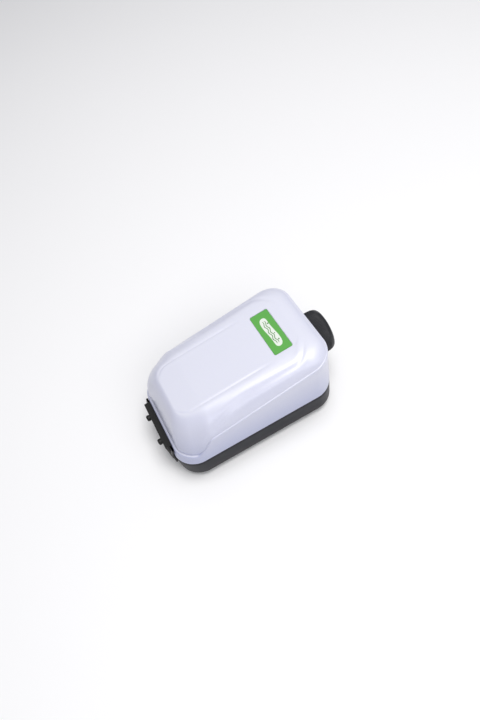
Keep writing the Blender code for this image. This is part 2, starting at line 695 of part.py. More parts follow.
def tube_rings(route, radius, segments):
    rings = []
    for i, spot in enumerate(route):
        ahead = (route[min(i + 1, len(route) - 1)] - route[max(i - 1, 0)]).normalized()
        sideways = Vector((0, 0, 1)).cross(ahead).normalized()
        upright = ahead.cross(sideways)
        angles = [2 * math.pi * k / segments for k in range(segments)]
        around = [math.cos(a) * sideways + math.sin(a) * upright for a in angles]
        rings.append([tuple(spot + radius * way) for way in around])
    return rings


def air_hoses(finish):
    for name, side in SIDES:
        knots = [
            (10.9, 34.3, 40), (3.5, 34.1, 39.8), (-8, 33, 37.5), (-20, 31.6, 34.8), (-31, 28, 31.8),
            (-41, 20.9, 29.4), (-47.5, 14.3, 28.2), (-52, 11.6, 28), (-55.5, 11.2, 28), (-58.7, 11.2, 28),
        ]
        route = smooth_route([(x, side * y, z) for x, y, z in knots], 2)
        rings = tube_rings(route, 2.8 * MM, 8) + tube_rings(route, 2.1 * MM, 8)[::-1]
        piece(f"air_hose_{name}", ring_shape(rings, closed=True), finish, smooth=True)


def coil_lead(finish):
    knots = [(46.6, 0, 29), (38, 0, 26), (28, 0, 22.5), (21, 4, 21), (14.5, 9.0, 22), (10.4, 9.0, 24.5)]
    route = smooth_route(knots, 3)
    piece("coil_lead", ring_shape(tube_rings(route, 0.9 * MM, 6)), finish, smooth=True)


def centre_overall():
    """Slides everything along X, so that the overall box is centred on the origin."""
    middle = (DIAL_BACK_X + KNOB_DEPTH + NOZZLE_INNER_X - NOZZLE_LENGTH) / 2
    for item in bpy.context.scene.objects:
        if not item.parent:
            item.location.x -= middle


def build():
    clear_scene()
    pearl = material("pearl_cover", (0.73, 0.74, 0.85), 0.22)
    charcoal = material("charcoal_base", (0.05, 0.05, 0.06), 0.5)
    black = material("black_plastic", (0.025, 0.025, 0.026), 0.42)
    knob = material("knob_plastic", (0.04, 0.04, 0.045), 0.5)
    green = material("label_green", (0.11, 0.43, 0.07), 0.4)
    rubber = material("rubber", (0.03, 0.03, 0.03), 0.75)
    steel = material("screw_steel", (0.6, 0.6, 0.62), 0.3, 1.0)
    iron = material("core_iron", (0.25, 0.26, 0.28), 0.45, 1.0)
    copper = material("coil_copper", (0.62, 0.28, 0.12), 0.35, 1.0)
    nylon = material("white_nylon", (0.75, 0.74, 0.7), 0.45)
    magnet = material("magnet_ferrite", (0.07, 0.07, 0.075), 0.5, 0.6)
    felt = material("filter_felt", (0.55, 0.56, 0.56), 0.95)
    board = material("board_green", (0.03, 0.2, 0.08), 0.4)
    hose = material("hose_silicone", (0.72, 0.74, 0.75), 0.35)

    base_tray(charcoal)
    top_cover(pearl)
    label_plate(green)
    seam_gasket(rubber)
    feet(rubber)
    case_screws(steel)
    intake_filter(charcoal, felt)
    silencer_box(nylon)
    outlet_plate(black)
    outlet_nozzles(black)
    cord_gland(rubber)
    flow_dial(knob, steel)
    dial_control(black, steel, board)
    chassis_plate(nylon)
    dampers(rubber)
    laminated_core(iron)
    bobbins_and_coils(nylon, copper)
    core_clamp(steel)
    pivot_pins(steel)
    for name, side in SIDES:
        axis = pivot(f"arm_axis_{name}", (PIVOT_X, side * PIVOT_Y, DRIVE_Z))
        swing_arm(name, side, axis, black, magnet, nylon)
        pump_head(name, side, nylon, rubber)
        flap_valves(name, side, rubber)
    air_hoses(hose)
    coil_lead(copper)
    centre_overall()


build()
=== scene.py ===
"""Looks of the aquarium air pump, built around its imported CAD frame.

The pieces that show are drawn again here in more detail, and every CAD piece gets a finish.
Lengths are in metres, except in the turned sections, which are in millimetres.
"""

import json
import math

import bmesh
import bpy
from mathutils import Matrix, Vector


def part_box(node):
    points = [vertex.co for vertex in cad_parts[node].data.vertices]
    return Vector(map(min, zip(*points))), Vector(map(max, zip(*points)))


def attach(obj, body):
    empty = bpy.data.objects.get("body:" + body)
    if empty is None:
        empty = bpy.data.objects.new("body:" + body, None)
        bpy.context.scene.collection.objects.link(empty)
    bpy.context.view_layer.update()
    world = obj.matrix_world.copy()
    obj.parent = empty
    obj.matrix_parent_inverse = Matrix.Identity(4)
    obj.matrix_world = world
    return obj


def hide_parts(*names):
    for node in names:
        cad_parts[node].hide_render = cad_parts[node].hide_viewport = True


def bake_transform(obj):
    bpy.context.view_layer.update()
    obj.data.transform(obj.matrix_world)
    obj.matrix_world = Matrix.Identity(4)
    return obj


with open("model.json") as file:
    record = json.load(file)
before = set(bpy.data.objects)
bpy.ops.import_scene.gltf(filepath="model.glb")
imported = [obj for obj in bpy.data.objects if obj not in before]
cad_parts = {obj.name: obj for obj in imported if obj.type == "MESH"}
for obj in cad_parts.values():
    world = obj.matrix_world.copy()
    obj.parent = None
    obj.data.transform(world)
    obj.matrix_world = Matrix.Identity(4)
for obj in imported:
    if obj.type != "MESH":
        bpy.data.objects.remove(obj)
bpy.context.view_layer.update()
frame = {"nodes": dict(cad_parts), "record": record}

MM = 0.001

# Sizes read from the frame
COVER_LOW, COVER_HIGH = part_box("top_cover")
TRAY_LOW, TRAY_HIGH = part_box("base_tray")
MIDDLE_X = (COVER_LOW.x + COVER_HIGH.x) / 2
HALF_LENGTH = (COVER_HIGH.x - COVER_LOW.x) / 2
HALF_WIDTH = COVER_HIGH.y
BOTTOM = COVER_LOW.z
SEAM = TRAY_HIGH.z

# The casing's shape, close to the CAD's own. Places along it are measured from its middle.
CORNER = 18 * MM
WALL = 2.0 * MM
TRAY_WALL = 2.4 * MM
ROOF_X = (-47.5 * MM, 50 * MM)
ROOF_HALF_WIDTH = 20.5 * MM
ROOF_CORNER = 10 * MM
ROOF_SLOPE = 0.07
TOP = COVER_HIGH.z - ROOF_SLOPE * ROOF_X[1]
DRAFT = 0.02
END_DRAFT = 0.25
END_DRAFT_X = (-62 * MM, -40 * MM)
LEDGE_LOW = 33.5 * MM
LEDGE_STEP_X = (-51 * MM, -34 * MM)
LEDGE_MIDDLE = 55 * MM
LEDGE_CLIMB = 0.165
DOME_FULLNESS = 2.1
DOME_SWELL = 0.5

# How finely the cover is drawn
CORNER_STEPS = 24
LONG_STEPS = 96
SHORT_STEPS = 40
SIDE_STEPS = (SHORT_STEPS, LONG_STEPS)
DOME_STEPS = 60
ROOF_STEPS = 30
HOLLOW_STEPS = 9

FOUR = range(1, 5)  # the casing's screws, feet and dampers are numbered from 1 to 4
SIDES = (("near", -1), ("far", 1))


# ---------------------------------------------------------------- meshes


def smooth_step(value, low, high):
    t = min(max((value - low) / (high - low), 0.0), 1.0)
    return t * t * (3 - 2 * t)


def ring_mesh(rings, closed=False):
    """Skin over rings of equal length: a closed loop of rings is hollow, an open one is capped."""
    count = len(rings[0])
    points = [tuple(point) for ring in rings for point in ring]
    faces = []
    for level in range(len(rings) if closed else len(rings) - 1):
        low = level * count
        high = ((level + 1) % len(rings)) * count
        for i in range(count):
            after = (i + 1) % count
            faces.append((low + i, low + after, high + after, high + i))
    if not closed:
        last = (len(rings) - 1) * count
        faces += [tuple(reversed(range(count))), tuple(range(last, last + count))]
    return points, faces


def joined(*shapes):
    points, faces = [], []
    for shape in shapes:
        start = len(points)
        points += shape[0]
        faces += [tuple(start + i for i in face) for face in shape[1]]
    return points, faces


def turned(shape, matrix):
    return [tuple(matrix @ Vector(p)) for p in shape[0]], shape[1]


def moved(shape, offset):
    return turned(shape, Matrix.Translation(offset))


def along_x(shape, origin, direction=1):
    turn = Matrix.Rotation(math.radians(90 * direction), 4, "Y")
    return turned(shape, Matrix.Translation(origin) @ turn)


def circle(radius, height, segments):
    step = 2 * math.pi / segments
    angles = [i * step for i in range(segments)]
    return [(radius * math.cos(a), radius * math.sin(a), height) for a in angles]


def lathe(profile, segments=64, closed=False):
    """A turned shape about Z from (radius, height) pairs in millimetres."""
    return ring_mesh([circle(r * MM, h * MM, segments) for r, h in profile], closed)


def block(x, y, z):
    corners = [(x[0], y[0]), (x[1], y[0]), (x[1], y[1]), (x[0], y[1])]
    return ring_mesh([[(a, b, height) for a, b in corners] for height in z])


def prism(outline, z):
    return ring_mesh([[(a, b, height) for a, b in outline] for height in z])


def rounded_outline(x, y, corner, corner_steps, side_steps):
    """A round-cornered rectangle; side_steps are the steps along the ends and along the sides."""
    centres = (
        (x[1] - corner, y[0] + corner, -90, side_steps[0]),
        (x[1] - corner, y[1] - corner, 0, side_steps[1]),
        (x[0] + corner, y[1] - corner, 90, side_steps[0]),
        (x[0] + corner, y[0] + corner, 180, side_steps[1]),
    )
    arcs = []
    for cx, cy, start, _ in centres:
        angles = [math.radians(start + 90 * i / corner_steps) for i in range(corner_steps + 1)]
        arcs.append([(cx + corner * math.cos(a), cy + corner * math.sin(a)) for a in angles])
    outline = []
    for index, arc in enumerate(arcs):
        outline += arc
        start, end = Vector(arc[-1]), Vector(arcs[(index + 1) % 4][0])
        steps = centres[index][3]
        outline += [tuple(start.lerp(end, i / steps)) for i in range(1, steps)]
    return outline


def body_outline(inset):
    """The casing's plan, measured from its own middle."""
    x = (inset - HALF_LENGTH, HALF_LENGTH - inset)
    y = (inset - HALF_WIDTH, HALF_WIDTH - inset)
    return rounded_outline(x, y, CORNER - inset, CORNER_STEPS, SIDE_STEPS)


def middle_of(node):
    low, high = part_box(node)
    return (low + high) / 2


def middles_of(kind):
    return [middle_of(f"{kind}_{number}") for number in FOUR]


def mesh_object(name, shape):
    mesh = bpy.data.meshes.new(name)
    mesh.from_pydata(shape[0], [], shape[1])
    form = bmesh.new()
    form.from_mesh(mesh)
    bmesh.ops.recalc_face_normals(form, faces=form.faces)
    form.to_mesh(mesh)
    form.free()
    made = bpy.data.objects.new(name, mesh)
    bpy.context.scene.collection.objects.link(made)
    return made


def boolean(target, shape, operation="DIFFERENCE"):
    """Cuts or adds a shape for good. The tool is removed again."""
    tool = mesh_object("tool", shape)
    step = target.modifiers.new("cut", "BOOLEAN")
    step.operation = operation
    step.object = tool
    evaluated = target.evaluated_get(bpy.context.evaluated_depsgraph_get())
    target.data = bpy.data.meshes.new_from_object(evaluated)
    target.modifiers.remove(step)
    bpy.data.objects.remove(tool)


def piece(
    name, shape, body, finish, replaces=(), cuts=(), adds=(), bevel=0.0, angle=35, bends=()
):
    """A finished piece: its mesh, cuts, bevel, shading, body and material.

    When bends is given, the piece's transform is baked into its mesh and it is attached to no body;
    the second body and two points that bends names are not used.
    """
    made = mesh_object(name, shape)
    for tool in adds:
        boolean(made, tool, "UNION")
    for tool in cuts:
        boolean(made, tool)
    made.data.materials.clear()
    made.data.materials.append(finish)
    made.data.shade_smooth()
    made.data.set_sharp_from_angle(angle=math.radians(angle))
    if bevel:
        step = made.modifiers.new("edge_round", "BEVEL")
        step.width = bevel
        step.segments = 3
        step.limit_method = "ANGLE"
        step.angle_limit = math.radians(40)
        step.harden_normals = True
    if bends:
        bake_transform(made)
    else:
        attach(made, body)
    if replaces:
        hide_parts(*replaces)
    return made


# ---------------------------------------------------------------- materials


class Nodes:
    """A short way to add and link shader nodes."""

    def __init__(self, name):
        self.material = bpy.data.materials.new(name)
        self.material.use_nodes = True
        self.tree = self.material.node_tree
        self.shader = self.tree.nodes["Principled BSDF"]
        self.place = self.add("ShaderNodeTexCoord").outputs["Object"]

    def add(self, kind, **settings):
        node = self.tree.nodes.new(kind)
        for key, value in settings.items():
            if hasattr(node, key):
                setattr(node, key, value)
            else:
                node.inputs[key.replace("_", " ")].default_value = value
        return node

    def link(self, source, target):
        self.tree.links.new(source, target)

    def set(self, **values):
        for key, value in values.items():
            self.shader.inputs[key.replace("_", " ")].default_value = value

    def mapped(self, stretch):
        spread = self.add("ShaderNodeMapping")
        spread.inputs["Scale"].default_value = stretch
        self.link(self.place, spread.inputs["Vector"])
        return spread.outputs["Vector"]

    def noise(self, scale, detail=3.0, stretch=None):
        node = self.add("ShaderNodeTexNoise", Scale=scale, Detail=detail)
        self.link(self.mapped(stretch) if stretch else self.place, node.inputs["Vector"])
        return node.outputs["Fac"]

    def waves(self, scale, direction, distortion=0.0, detail=0.0):
        node = self.add("ShaderNodeTexWave", Scale=scale, Distortion=distortion, Detail=detail)
        node.bands_direction = direction
        self.link(self.place, node.inputs["Vector"])
        return node.outputs["Fac"]

    def cells(self, scale):
        node = self.add("ShaderNodeTexVoronoi", Scale=scale)
        self.link(self.place, node.inputs["Vector"])
        return node.outputs["Distance"]

    def span(self, source, low, high, at=(0.3, 0.7)):
        """Maps the source's range at to low..high."""
        node = self.add("ShaderNodeMapRange")
        self.link(source, node.inputs["Value"])
        node.inputs["From Min"].default_value, node.inputs["From Max"].default_value = at
        node.inputs["To Min"].default_value, node.inputs["To Max"].default_value = low, high
        return node.outputs["Result"]

    def blend(self, factor, first, second):
        node = self.add("ShaderNodeMix", data_type="RGBA")
        self.link(factor, node.inputs[0])
        for socket, value in ((node.inputs[6], first), (node.inputs[7], second)):
            if isinstance(value, tuple):
                socket.default_value = (*value, 1.0)
            else:
                self.link(value, socket)
        return node.outputs[2]

    def bump(self, source, distance, before=None):
        node = self.add("ShaderNodeBump", Strength=1.0, Distance=distance)
        self.link(source, node.inputs["Height"])
        if before:
            self.link(before, node.inputs["Normal"])
        return node.outputs["Normal"]

    def worn(self, tone, paler, amount=0.15):
        """Edges rubbed to another tone, unevenly."""
        edge = self.add("ShaderNodeNewGeometry").outputs["Pointiness"]
        return self.blend(self.span(edge, 0.0, amount, (0.52, 0.62)), tone, paler)

    def finish(self, tone, roughness, normal):
        self.link(tone, self.shader.inputs["Base Color"])
        self.link(roughness, self.shader.inputs["Roughness"])
        self.link(normal, self.shader.inputs["Normal"])
        return self.material


def shades(colour, spread):
    """A darker and a lighter tone of one colour."""
    darker = tuple(c * (1 - spread) for c in colour)
    return darker, tuple(min(c * (1 + spread), 1.0) for c in colour)


def moulded(name, colour, rough, grain=900.0, depth=0.00002, spread=0.07, shine=0.5):
    """Injection-moulded plastic: spark grain, slow changes of tone and gloss, rubbed edges."""
    n = Nodes(name)
    tone = n.blend(n.noise(28.0), *shades(colour, spread))
    tone = n.worn(tone, tuple(min(c * 1.5 + 0.03, 1.0) for c in colour))
    roughness = n.span(n.noise(60.0, 5.0), rough - 0.05, rough + 0.06)
    normal = n.bump(n.noise(grain, 2.0), depth)
    n.set(Specular_IOR_Level=shine)
    return n.finish(tone, roughness, n.bump(n.noise(120.0, 2.0), 0.00001, normal))


def pearl():
    """Glossy pearl plastic: a milky base with faint flow marks, fine flecks and a rippled skin.

    It is darkened to lilac down the walls as painted shade, and is palest where it faces up as
    painted light from above.
    """
    n = Nodes("pearl_cover")
    cloud = n.noise(16.0, 2.0, (0.5, 1.0, 1.0))
    upper = n.blend(n.span(cloud, 0.0, 1.0), (0.62, 0.63, 0.765), (0.65, 0.665, 0.79))
    height = n.add("ShaderNodeSeparateXYZ")
    n.link(n.place, height.inputs["Vector"])
    # painted shade: the colour darkens to lilac from below the roof down to the seam, standing in
    # for the shading of the side walls
    depth = n.span(height.outputs["Z"], 1.0, 0.0, (SEAM, TOP - 12 * MM))
    base = n.blend(depth, upper, (0.42, 0.45, 0.66))
    # painted light: the colour turns paler where the surface faces up, standing in for the light
    # from the lamps above
    painted_light_normal = n.add("ShaderNodeSeparateXYZ")
    n.link(n.add("ShaderNodeTexCoord").outputs["Normal"], painted_light_normal.inputs["Vector"])
    base = n.blend(n.span(painted_light_normal.outputs["Z"], 0.0, 0.85, (0.86, 0.99)), base, (0.70, 0.71, 0.81))
    fleck = n.span(n.noise(5200.0, 1.0), 0.0, 0.35, (0.55, 0.75))
    tone = n.blend(fleck, base, (0.82, 0.83, 0.93))
    ripple = n.bump(n.noise(140.0, 2.0), 0.000012)
    normal = n.bump(n.noise(2600.0, 1.0), 0.0000015, ripple)
    n.set(
        Coat_Weight=0.5,
        Coat_Roughness=0.3,
        Subsurface_Weight=0.06,
        Subsurface_Radius=(0.002, 0.002, 0.0025),
    )
    return n.finish(tone, n.span(n.noise(45.0, 4.0), 0.28, 0.36), normal)


def rubber():
    """Moulded rubber with a little dust on it."""
    n = Nodes("rubber")
    tone = n.blend(n.noise(90.0, 4.0), (0.018, 0.018, 0.019), (0.034, 0.034, 0.036))
    dust = n.span(n.noise(700.0, 3.0), 0.0, 0.12, (0.55, 0.8))
    tone = n.blend(dust, tone, (0.16, 0.16, 0.17))
    return n.finish(tone, n.span(n.noise(50.0, 3.0), 0.5, 0.68), n.bump(n.noise(1500.0), 0.00002))


def steel():
    """Zinc-plated steel: soft spangle and fine drawing marks."""
    n = Nodes("screw_steel")
    tone = n.blend(n.cells(420.0), (0.50, 0.50, 0.51), (0.66, 0.66, 0.65))
    scratch = n.noise(900.0, 2.0, (1.0, 1.0, 0.08))
    n.set(Metallic=1.0)
    return n.finish(tone, n.span(scratch, 0.24, 0.42), n.bump(scratch, 0.000006))


def laminations():
    """Stacked sheets, seen as fine lines one above another."""
    n = Nodes("core_iron")
    sheets = n.waves(320.0, "Z", 0.4, 1.0)
    tone = n.blend(n.span(sheets, 0.0, 1.0, (0.1, 0.5)), (0.05, 0.052, 0.058), (0.26, 0.27, 0.29))
    rust = n.span(n.noise(240.0, 5.0), 0.0, 0.35, (0.6, 0.75))
    tone = n.blend(rust, tone, (0.15, 0.07, 0.035))
    n.set(Metallic=0.8)
    return n.finish(tone, n.span(n.noise(300.0), 0.4, 0.6), n.bump(sheets, 0.00008))


def copper():
    """Enamelled wire laid turn beside turn."""
    n = Nodes("coil_copper")
    turns = n.waves(700.0, "Y", 0.6, 1.0)
    tone = n.blend(n.span(turns, 0.0, 1.0, (0.0, 0.7)), (0.20, 0.055, 0.016), (0.60, 0.24, 0.09))
    n.set(Metallic=0.75, Coat_Weight=0.5, Coat_Roughness=0.2)
    return n.finish(tone, n.span(n.noise(180.0), 0.28, 0.4), n.bump(turns, 0.00015))


def felt():
    """Matted fibres."""
    n = Nodes("filter_felt")
    fibres = n.noise(1100.0, 6.0, (1.0, 0.35, 1.0))
    tone = n.blend(fibres, (0.36, 0.37, 0.37), (0.70, 0.70, 0.69))
    n.set(Sheen_Weight=0.4)
    return n.finish(tone, n.span(n.noise(200.0), 0.85, 0.97), n.bump(fibres, 0.0004))


def circuit_board():
    """Solder mask over copper tracks, with the glass weave faintly through it."""
    n = Nodes("board_green")
    tracks = n.span(n.waves(110.0, "Y", 6.0, 1.0), 0.0, 1.0, (0.45, 0.55))
    tone = n.blend(tracks, (0.012, 0.10, 0.035), (0.03, 0.22, 0.08))
    relief = n.bump(n.waves(800.0, "Z"), 0.00002, n.bump(tracks, 0.00005))
    n.set(Coat_Weight=0.4)
    return n.finish(tone, n.span(n.noise(150.0), 0.3, 0.42), relief)


def ferrite():
    """Sintered ferrite, dark and pitted."""
    n = Nodes("magnet_ferrite")
    tone = n.blend(n.noise(500.0, 6.0), (0.035, 0.035, 0.04), (0.09, 0.09, 0.095))
    pits = n.cells(900.0)
    return n.finish(tone, n.span(n.noise(80.0), 0.5, 0.66), n.bump(pits, 0.00006))


def silicone():
    """Milky silicone tube."""
    n = Nodes("hose_silicone")
    tone = n.blend(n.noise(60.0), (0.70, 0.71, 0.72), (0.82, 0.82, 0.81))
    n.set(Subsurface_Weight=0.25, Subsurface_Radius=(0.003, 0.003, 0.003), Coat_Weight=0.3)
    return n.finish(tone, n.span(n.noise(90.0), 0.28, 0.4), n.bump(n.noise(200.0), 0.00003))


def printed(name, dark, light):
    """Ink on film, with a halftone grain under a clear skin."""
    n = Nodes(name)
    tone = n.blend(n.noise(30.0, 2.0), dark, light)
    dots = n.span(n.cells(3200.0), 0.0, 0.12, (0.1, 0.6))
    tone = n.blend(dots, tone, tuple(c * 0.75 for c in dark))
    n.set(Coat_Weight=0.35, Coat_Roughness=0.2)
    return n.finish(tone, n.span(n.noise(70.0), 0.4, 0.5), n.bump(n.noise(350.0), 0.00001))


# ---------------------------------------------------------------- cover

LIP = 0.85 * MM  # radius of the ledge's outer edge
LEDGE_WIDTH = 1.7 * MM  # round the outlet end
BREAK_WIDTH = 0.9 * MM  # where it steps up
CREASE_WIDTH = 1.0 * MM  # along the sides
NARROWS_X = (-50 * MM, -43 * MM)  # from the ledge's width to the break's
BREAK_X = (-40 * MM, -30 * MM)  # from the break's width to the crease's
CREASE_START = 15  # degrees round the dome's section at which it leaves the crease
CREASE_START_X = (-52 * MM, -22 * MM)  # where it comes to that
FOOT_RISE = 0.15 * MM  # of the dome's foot above the ledge's edge
FACET_X = -31 * MM  # where the roof starts to slope down to the outlet end
FACET_SLOPE = math.tan(math.radians(2.5))
RIM_ROLL = (0.10, 5.0, 2.4)  # height, place outside the roof's edge and spread, in millimetres
RIM_GROOVE = (0.30, 1.2, 1.0)  # depth, place and spread
RIM_FADES_X = (8 * MM, 30 * MM)  # where both run out towards the dial
ROLL_HEIGHT, ROLL_SPREAD = 0.22, 8  # millimetres, and degrees round the shoulder
GROOVE_DEPTH, GROOVE_SPREAD = 0.26, 4.5
GROOVE_TURN = (24, 32, 28)  # degrees round the shoulder at the outlet end, then what each rise adds
GROOVE_RISES_X = ((-48 * MM, 0.0), (36 * MM, 52 * MM))
SHOULDER_X = ((-52 * MM, -22 * MM), (46 * MM, 58 * MM))  # where the rolls come in and run out


def ledge_height(x):
    side = LEDGE_MIDDLE + LEDGE_CLIMB * x
    return LEDGE_LOW + (side - LEDGE_LOW) * smooth_step(x, *LEDGE_STEP_X)


def ledge_width(x):
    narrow = LEDGE_WIDTH + (BREAK_WIDTH - LEDGE_WIDTH) * smooth_step(x, *NARROWS_X)
    return narrow + (CREASE_WIDTH - BREAK_WIDTH) * smooth_step(x, *BREAK_X)


def roof_height(x):
    return TOP + ROOF_SLOPE * x


def panel_height(x):
    """The roof's height, with its last stretch sloping down to the outlet end."""
    return roof_height(x) - FACET_SLOPE * max(FACET_X - x, 0.0)


def lean(x, height):
    """How far the wall leans in at this height."""
    return (DRAFT + END_DRAFT * (1 - smooth_step(x, *END_DRAFT_X))) * max(height - SEAM, 0.0)


def bell(offset, spread):
    return math.exp(-((offset / spread) ** 2))


def rim_profile(away, x, sideways):
    """The roll and groove beside the roof's long edges, at a distance inside the edge.

    sideways is 1 along the long sides and 0 across the ends, here and below.
    """
    fade = (1 - smooth_step(x, *RIM_FADES_X)) * smooth_step(sideways, 0.04, 0.5)
    height, place, spread = RIM_ROLL
    roll = height * bell(away / MM + place, spread)
    height, place, spread = RIM_GROOVE
    groove = height * bell(away / MM + place, spread)
    return (roll - groove) * fade * MM


def shoulder_swell(x, degrees, sideways):
    """Two soft rolls along each shoulder, with a shallow groove between them.

    degrees is how far round the dome's section the point lies, from the foot up to the roof.
    """
    start, first, second = GROOVE_TURN
    first_rise, second_rise = (smooth_step(x, *rise) for rise in GROOVE_RISES_X)
    middle = start + first * first_rise + second * second_rise
    ends = smooth_step(x, *SHOULDER_X[0]) * (1 - smooth_step(x, *SHOULDER_X[1]))
    away = degrees - middle
    rolls = bell(away + 13, ROLL_SPREAD) + bell(away - 12, ROLL_SPREAD)
    groove = bell(away, GROOVE_SPREAD)
    return (ROLL_HEIGHT * rolls - GROOVE_DEPTH * groove) * ends * sideways * MM


def outline_normals(outline):
    """The outward direction at each point of a plan."""
    normals = []
    for i in range(len(outline)):
        run = Vector(outline[(i + 1) % len(outline)]) - Vector(outline[i - 1])
        normals.append(Vector((run.y, -run.x)).normalized())
    return normals


def wall_rings(wall, normals):
    """The wall from the seam up to its top edge, and over the edge onto the ledge."""

    def ring(inset_at, height_at):
        made = []
        for (x, y), nm in zip(wall, normals):
            height = height_at(ledge_height(x))
            inset = inset_at + lean(x, height)
            made.append((x - nm.x * inset, y - nm.y * inset, height))
        return made

    rings = [ring(0.45 * MM, lambda top: BOTTOM)]
    rings.append(ring(0.12 * MM, lambda top: BOTTOM + 0.06 * MM))
    start = 0.3 * MM  # above the cover's lower edge, which is broken
    for share in (0.01, 0.2, 0.4, 0.6, 0.8, 0.95):
        lift = start * (1 - share)
        rings.append(ring(0.0, lambda top: BOTTOM + (top - LIP - BOTTOM) * share + lift))
    for degrees in range(0, 91, 15):
        a = math.radians(degrees)
        rings.append(ring(LIP * (1 - math.cos(a)), lambda top: top - LIP * (1 - math.sin(a))))
    return rings


def dome_rings(wall, normals, roof):
    """From the ledge up over the shoulders to the roof's edge."""
    foot_ring = []
    for (x, y), nm in zip(wall, normals):
        rise = ledge_height(x)
        inset = lean(x, rise) + ledge_width(x)
        foot_ring.append((x - nm.x * inset, y - nm.y * inset, rise + FOOT_RISE))
    rings = [foot_ring]
    for level in range(1, DOME_STEPS + 1):
        ring = []
        for (fx, fy, fz), nm, (rx, ry) in zip(foot_ring, normals, roof):
            sideways = abs(nm.y) ** 2
            power = 2 / (DOME_FULLNESS + DOME_SWELL * fx / HALF_LENGTH)
            first = math.radians(CREASE_START) * smooth_step(fx, *CREASE_START_X)
            angle = first + (math.pi / 2 - first) * level / DOME_STEPS
            degrees = math.degrees(angle)
            inward = 1 - (max(math.cos(angle), 0.0) / math.cos(first)) ** power
            low = math.sin(first) ** power
            x = fx + (rx - fx) * inward
            y = fy + (ry - fy) * inward
            top = panel_height(rx)
            z = fz + (top - fz) * (math.sin(angle) ** power - low) / (1 - low)
            z += rim_profile(-math.hypot(x - rx, y - ry), rx, sideways)
            swell = shoulder_swell(x, degrees, sideways)
            outward = math.copysign(swell * math.cos(angle), y)
            ring.append((x, y + outward, z + swell * math.sin(angle)))
        rings.append(ring)
    return rings


def roof_rings(roof, normals):
    """From the roof's edge inwards to its middle line, with finer steps near the edge."""
    spine = (ROOF_X[0] + ROOF_HALF_WIDTH, ROOF_X[1] - ROOF_HALF_WIDTH)
    shares = [0.012 * k for k in range(1, 22)]
    shares += [0.252 + 0.74 * k / ROOF_STEPS for k in range(1, ROOF_STEPS + 1)]
    rings = []
    for share in shares:
        ring = []
        for (rx, ry), nm in zip(roof, normals):
            mx = min(max(rx, spine[0]), spine[1])
            x = rx + (mx - rx) * share
            y = ry * (1 - share)
            away = math.hypot(x - rx, y - ry)
            ring.append((x, y, panel_height(x) + rim_profile(away, rx, abs(nm.y) ** 2)))
        rings.append(ring)
    return rings


def roof_outline(inset):
    x = (ROOF_X[0] + inset, ROOF_X[1] - inset)
    y = (inset - ROOF_HALF_WIDTH, ROOF_HALF_WIDTH - inset)
    return rounded_outline(x, y, ROOF_CORNER - inset, CORNER_STEPS, SIDE_STEPS)


def cover_hollow():
    """The room inside the cover, less the four screw bosses."""
    wall = body_outline(WALL)
    crest, shelf = [], []
    for (x, y), nm in zip(wall, outline_normals(wall)):
        inset = lean(x, ledge_height(x))
        crest.append((x - nm.x * inset, y - nm.y * inset))
        inset += LEDGE_WIDTH
        shelf.append((x - nm.x * inset, y - nm.y * inset))
    rings = [[(x, y, BOTTOM - WALL) for x, y in wall]]
    rings.append([(x, y, ledge_height(x) - WALL) for x, y in crest])
    for level in range(HOLLOW_STEPS + 1):
        angle = math.radians(90 * level / HOLLOW_STEPS)
        inward, upward = 1 - math.cos(angle), math.sin(angle)
        ring = []
        for (x, y), (rx, ry) in zip(shelf, roof_outline(WALL)):
            foot = ledge_height(x) - 1.0 * MM
            top = panel_height(rx) - WALL
            height = foot + (top - foot) * upward
            ring.append((x + (rx - x) * inward, y + (ry - y) * inward, height))
        rings.append(ring)
    room = mesh_object("cover_room", moved(ring_mesh(rings), (MIDDLE_X, 0, 0)))
    boss = lathe(((3.2, BOTTOM / MM + 0.6), (3.2, TOP / MM + 5)), 32)
    for spot in middles_of("case_screw"):
        boolean(room, moved(boss, (spot.x, spot.y, 0)))
    points = [tuple(v.co) for v in room.data.vertices]
    faces = [tuple(f.vertices) for f in room.data.polygons]
    bpy.data.objects.remove(room)
    return points, faces


def label_plan(grow=0.0, corner=1.0 * MM):
    low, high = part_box("label_plate")
    x = (low.x - grow, high.x + grow)
    y = (low.y - grow, high.y + grow)
    return rounded_outline(x, y, corner, 6, (1, 1))


def on_roof(outline, depths):
    """A slab that follows the roof's slope, between two distances from its surface."""
    rings = [[(x, y, roof_height(x - MIDDLE_X) + depth) for x, y in outline] for depth in depths]
    return ring_mesh(rings)


def cover_shell(finish):
    """The cover, with the ways cut for the nozzles, the dial's shaft, the screws and the label."""
    wall = body_outline(0)
    normals = outline_normals(wall)
    roof = roof_outline(0)
    rings = wall_rings(wall, normals) + dome_rings(wall, normals, roof) + roof_rings(roof, normals)
    ways = [cover_hollow()]
    end_x = MIDDLE_X - HALF_LENGTH
    for name, _ in SIDES:
        spot = middle_of(f"outlet_nozzle_{name}")
        ways.append(along_x(lathe(((2.7, -6), (2.7, 6)), 32), (end_x, spot.y, spot.z)))
    axis = middle_of("flow_knob")
    end_x = MIDDLE_X + HALF_LENGTH
    ways.append(along_x(lathe(((4.3, -6), (4.3, 6)), 32), (end_x, axis.y, axis.z)))
    for spot in middles_of("case_screw"):
        ways.append(moved(lathe(((1.8, BOTTOM / MM - 2), (1.8, 36)), 24), (spot.x, spot.y, 0)))
    ways.append(on_roof(label_plan(0.3 * MM, 1.3 * MM), (-0.6 * MM, 4 * MM)))
    shape = moved(ring_mesh(rings), (MIDDLE_X, 0, 0))
    piece("cover_shell", shape, "housing", finish, ["top_cover"], ways, angle=50)


# ---------------------------------------------------------------- label


def dot(x, y, outer, inner, depth):
    """A flat printed dot on the label, between two depths below the roof line."""
    rings = []
    for radius, level in ((inner, 0), (outer, 0), (outer, 1), (inner, 1)):
        ring = []
        for px, py, _ in circle(radius, 0, 40):
            ring.append((x + px, y + py, roof_height(x + px - MIDDLE_X) + depth[level]))
        rings.append(ring)
    return ring_mesh(rings, closed=True)


